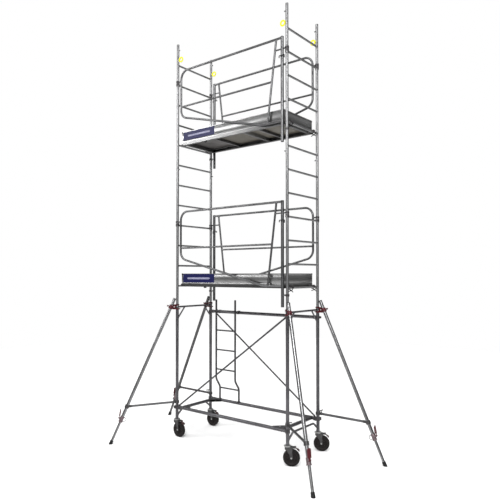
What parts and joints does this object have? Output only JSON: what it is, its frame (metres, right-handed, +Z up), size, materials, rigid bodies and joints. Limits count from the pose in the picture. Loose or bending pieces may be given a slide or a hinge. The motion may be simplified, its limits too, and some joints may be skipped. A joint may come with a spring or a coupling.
{
  "type": "mobile tower scaffold",
  "caption": "Tall wheeled scaffold tower with two guarded work platforms, a rear access ladder and swing-out stabiliser legs.",
  "frame": {"origin": "on the floor, in the middle of the floor space that the tower and its stabilisers cover", "axes": "+Z up; +X along the long side, to the right of a person who faces the entry side; +Y from the entry side to the back"},
  "size_m": [3.6778, 1.5702, 5.437],
  "materials": {
    "base_steel": "grey coated, satin",
    "tyre_black": "matt",
    "clip_yellow": "moulded",
    "rail_steel": "galvanised, dull",
    "galvanised_steel": "hot-dip galvanised, satin",
    "deck_aluminium": "mill finish",
    "deck_panel": "phenolic film, dull",
    "clamp_red": "dark red paint",
    "bright_tube": "bright, satin"
  },
  "bodies": {
    "tower": {"access_ladder": "base_steel", "base_frame_left": "base_steel", "base_frame_right": "base_steel", "bottom_brace_frame": "base_steel", "frame_clip_front_left": "clip_yellow", "frame_clip_front_right": "clip_yellow", "frame_clip_rear_left": "clip_yellow", "frame_clip_rear_right": "clip_yellow", "front_diagonal_brace": "base_steel", "lower_front_guardrail": "rail_steel", "lower_ladder_frame_left": "galvanised_steel", "lower_ladder_frame_right": "galvanised_steel", "lower_platform_deck": "deck_aluminium", "lower_rear_guardrail": "rail_steel", "lower_toe_boards": "deck_aluminium", "middle_ladder_frame_left": "galvanised_steel", "middle_ladder_frame_right": "galvanised_steel", "rear_beam": "base_steel", "rear_diagonal_brace": "base_steel", "top_ladder_frame_left": "galvanised_steel", "top_ladder_frame_right": "galvanised_steel", "upper_front_guardrail": "rail_steel", "upper_platform_deck": "deck_aluminium", "upper_rear_guardrail": "rail_steel", "upper_toe_boards": "deck_aluminium"},
    "hatch_lower": {"lower_platform_hatch": "deck_panel"},
    "hatch_upper": {"upper_platform_hatch": "deck_panel"},
    "castor_front_left": {"castor_fork_front_left": "base_steel"},
    "wheel_front_left": {"castor_wheel_front_left": "tyre_black"},
    "brake_front_left": {"castor_brake_front_left": "base_steel"},
    "stabiliser_front_left": {"stabiliser_leg_front_left": "bright_tube", "stabiliser_strut_front_left": "bright_tube", "stabiliser_clamp_front_left": "clamp_red"},
    "foot_front_left": {"stabiliser_foot_front_left": "bright_tube"},
    "lock_front_left": {"stabiliser_lock_front_left": "clamp_red"},
    "castor_front_right": {"castor_fork_front_right": "base_steel"},
    "wheel_front_right": {"castor_wheel_front_right": "tyre_black"},
    "brake_front_right": {"castor_brake_front_right": "base_steel"},
    "stabiliser_front_right": {"stabiliser_leg_front_right": "bright_tube", "stabiliser_strut_front_right": "bright_tube", "stabiliser_clamp_front_right": "clamp_red"},
    "foot_front_right": {"stabiliser_foot_front_right": "bright_tube"},
    "lock_front_right": {"stabiliser_lock_front_right": "clamp_red"},
    "castor_rear_left": {"castor_fork_rear_left": "base_steel"},
    "wheel_rear_left": {"castor_wheel_rear_left": "tyre_black"},
    "brake_rear_left": {"castor_brake_rear_left": "base_steel"},
    "stabiliser_rear_left": {"stabiliser_leg_rear_left": "bright_tube", "stabiliser_strut_rear_left": "bright_tube", "stabiliser_clamp_rear_left": "clamp_red"},
    "foot_rear_left": {"stabiliser_foot_rear_left": "bright_tube"},
    "lock_rear_left": {"stabiliser_lock_rear_left": "clamp_red"},
    "castor_rear_right": {"castor_fork_rear_right": "base_steel"},
    "wheel_rear_right": {"castor_wheel_rear_right": "tyre_black"},
    "brake_rear_right": {"castor_brake_rear_right": "base_steel"},
    "stabiliser_rear_right": {"stabiliser_leg_rear_right": "bright_tube", "stabiliser_strut_rear_right": "bright_tube", "stabiliser_clamp_rear_right": "clamp_red"},
    "foot_rear_right": {"stabiliser_foot_rear_right": "bright_tube"},
    "lock_rear_right": {"stabiliser_lock_rear_right": "clamp_red"}
  },
  "joints": [
    {"name": "lower_hatch_hinge", "type": "hinge", "parent": "tower", "child": "hatch_lower", "pos_m": [0, 0.10391, 2.123], "axis": [1, 0, 0], "range_deg": [0, 88]},
    {"name": "upper_hatch_hinge", "type": "hinge", "parent": "tower", "child": "hatch_upper", "pos_m": [0, 0.10391, 4.083], "axis": [1, 0, 0], "range_deg": [0, 88]},
    {"name": "castor_swivel_front_left", "type": "hinge", "parent": "tower", "child": "castor_front_left", "pos_m": [-0.92, 0.02591, 0.24], "axis": [0, 0, 1], "continuous": true},
    {"name": "wheel_spin_front_left", "type": "hinge", "parent": "castor_front_left", "child": "wheel_front_left", "pos_m": [-0.875, 0.02591, 0.1], "axis": [0, 1, 0], "continuous": true},
    {"name": "brake_tip_front_left", "type": "hinge", "parent": "castor_front_left", "child": "brake_front_left", "pos_m": [-0.832, 0.02591, 0.219], "axis": [0, 1, 0], "range_deg": [0, 12]},
    {"name": "stabiliser_swing_front_left", "type": "hinge", "parent": "tower", "child": "stabiliser_front_left", "pos_m": [-0.92, 0.02591, 1.775], "axis": [0, 0, 1], "range_deg": [-56, 24]},
    {"name": "foot_slide_front_left", "type": "slide", "parent": "stabiliser_front_left", "child": "foot_front_left", "axis": [-0.1977, -0.3626, -0.9107], "range_m": [-0.25, 0.1]},
    {"name": "lock_turn_front_left", "type": "hinge", "parent": "stabiliser_front_left", "child": "lock_front_left", "pos_m": [-1.29656, -0.66476, 0.3297], "axis": [0.878, -0.4787, 0], "range_deg": [0, 90]},
    {"name": "castor_swivel_front_right", "type": "hinge", "parent": "tower", "child": "castor_front_right", "pos_m": [0.92, 0.02591, 0.24], "axis": [0, 0, 1], "continuous": true},
    {"name": "wheel_spin_front_right", "type": "hinge", "parent": "castor_front_right", "child": "wheel_front_right", "pos_m": [0.95897, 0.04841, 0.1], "axis": [-0.5, 0.866, 0], "continuous": true},
    {"name": "brake_tip_front_right", "type": "hinge", "parent": "castor_front_right", "child": "brake_front_right", "pos_m": [0.99621, 0.06991, 0.219], "axis": [-0.5, 0.866, 0], "range_deg": [0, 12]},
    {"name": "stabiliser_swing_front_right", "type": "hinge", "parent": "tower", "child": "stabiliser_front_right", "pos_m": [0.92, 0.02591, 1.775], "axis": [0, 0, 1], "range_deg": [-46, 34]},
    {"name": "foot_slide_front_right", "type": "slide", "parent": "stabiliser_front_right", "child": "foot_front_right", "axis": [0.3201, -0.261, -0.9107], "range_m": [-0.25, 0.1]},
    {"name": "lock_turn_front_right", "type": "hinge", "parent": "stabiliser_front_right", "child": "lock_front_right", "pos_m": [1.52961, -0.47128, 0.3297], "axis": [0.632, 0.7749, 0], "range_deg": [0, 90]},
    {"name": "castor_swivel_rear_left", "type": "hinge", "parent": "tower", "child": "castor_rear_left", "pos_m": [-0.92, 0.70591, 0.24], "axis": [0, 0, 1], "continuous": true},
    {"name": "wheel_spin_rear_left", "type": "hinge", "parent": "castor_rear_left", "child": "wheel_rear_left", "pos_m": [-0.87517, 0.70983, 0.1], "axis": [-0.0872, 0.9962, 0], "continuous": true},
    {"name": "brake_tip_rear_left", "type": "hinge", "parent": "castor_rear_left", "child": "brake_rear_left", "pos_m": [-0.83234, 0.71358, 0.219], "axis": [-0.0872, 0.9962, 0], "range_deg": [0, 12]},
    {"name": "stabiliser_swing_rear_left", "type": "hinge", "parent": "tower", "child": "stabiliser_rear_left", "pos_m": [-0.92, 0.70591, 1.775], "axis": [0, 0, 1], "range_deg": [-84, 6]},
    {"name": "foot_slide_rear_left", "type": "slide", "parent": "stabiliser_rear_left", "child": "foot_rear_left", "axis": [-0.413, 0.0072, -0.9107], "range_m": [-0.25, 0.1]},
    {"name": "lock_turn_rear_left", "type": "hinge", "parent": "stabiliser_rear_left", "child": "lock_rear_left", "pos_m": [-1.70653, 0.71964, 0.3297], "axis": [-0.0175, -0.9998, 0], "range_deg": [0, 90]},
    {"name": "castor_swivel_rear_right", "type": "hinge", "parent": "tower", "child": "castor_rear_right", "pos_m": [0.92, 0.70591, 0.24], "axis": [0, 0, 1], "continuous": true},
    {"name": "wheel_spin_rear_right", "type": "hinge", "parent": "castor_rear_right", "child": "wheel_rear_right", "pos_m": [0.96078, 0.72493, 0.1], "axis": [-0.4226, 0.9063, 0], "continuous": true},
    {"name": "brake_tip_rear_right", "type": "hinge", "parent": "castor_rear_right", "child": "brake_rear_right", "pos_m": [0.99975, 0.7431, 0.219], "axis": [-0.4226, 0.9063, 0], "range_deg": [0, 12]},
    {"name": "stabiliser_swing_rear_right", "type": "hinge", "parent": "tower", "child": "stabiliser_rear_right", "pos_m": [0.92, 0.70591, 1.775], "axis": [0, 0, 1], "range_deg": [-6, 84]},
    {"name": "foot_slide_rear_right", "type": "slide", "parent": "stabiliser_rear_right", "child": "foot_rear_right", "axis": [0.413, 0.0072, -0.9107], "range_m": [-0.25, 0.1]},
    {"name": "lock_turn_rear_right", "type": "hinge", "parent": "stabiliser_rear_right", "child": "lock_rear_right", "pos_m": [1.70653, 0.71964, 0.3297], "axis": [-0.0175, 0.9998, 0], "range_deg": [0, 90]}
  ]
}
